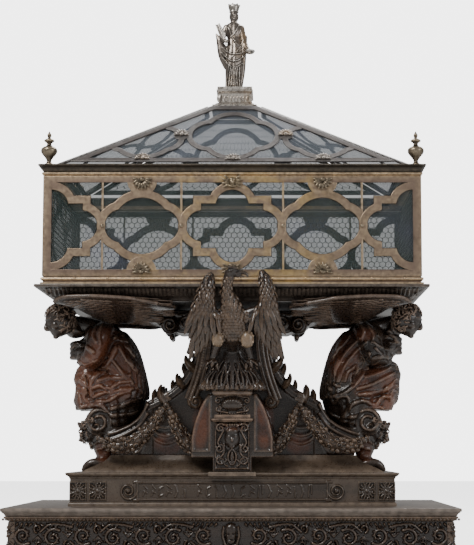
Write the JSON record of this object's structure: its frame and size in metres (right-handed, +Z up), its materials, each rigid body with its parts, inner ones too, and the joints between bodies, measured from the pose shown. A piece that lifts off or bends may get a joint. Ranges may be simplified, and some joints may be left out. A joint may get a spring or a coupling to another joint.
{
  "type": "reliquary casket",
  "caption": "Glazed brass tracery casket with a hipped glazed roof and silver statuette, carried by kneeling angels and an eagle on a carved walnut scroll stand",
  "frame": {"origin": "Middle of the bounding box in X and Y, on the underside of the lowest base.", "axes": "+X to the right seen from the front, +Z up, and the front with the eagle and the inscription tablet faces -Y."},
  "size_m": [1.128, 0.6178, 1.5104],
  "materials": {
    "walnut": "satin",
    "brass": "weathered",
    "pewter": "satin",
    "silver": "satin",
    "bronze": "weathered",
    "glass": "gloss"
  },
  "bodies": {
    "root": {"base_chest": "walnut", "base_top": "walnut", "plinth": "walnut", "scrolled_stand": "walnut", "pier": "walnut", "garland_outer_right": "walnut", "garland_outer_left": "walnut", "garland_outer_back_right": "walnut", "garland_outer_back_left": "walnut", "garland_inner_right": "walnut", "garland_inner_left": "walnut", "garland_inner_back_right": "walnut", "garland_inner_back_left": "walnut", "eagle": "walnut", "angel_right": "walnut", "angel_left": "walnut", "casket_board": "walnut", "wall_front": "brass", "wall_back": "brass", "wall_right": "brass", "wall_left": "brass", "pane_front": "glass", "pane_back": "glass", "pane_right": "glass", "pane_left": "glass", "casket_sill": "brass", "casket_cornice": "brass", "roof_frame": "pewter", "roof_front": "pewter", "roof_pane_front": "glass", "roof_back": "pewter", "roof_pane_back": "glass", "roof_right": "pewter", "roof_pane_right": "glass", "roof_left": "pewter", "roof_pane_left": "glass", "finial_front_left": "bronze", "finial_front_right": "bronze", "finial_back_left": "bronze", "finial_back_right": "bronze", "pedestal": "silver", "saint": "silver"}
  },
  "joints": []
}
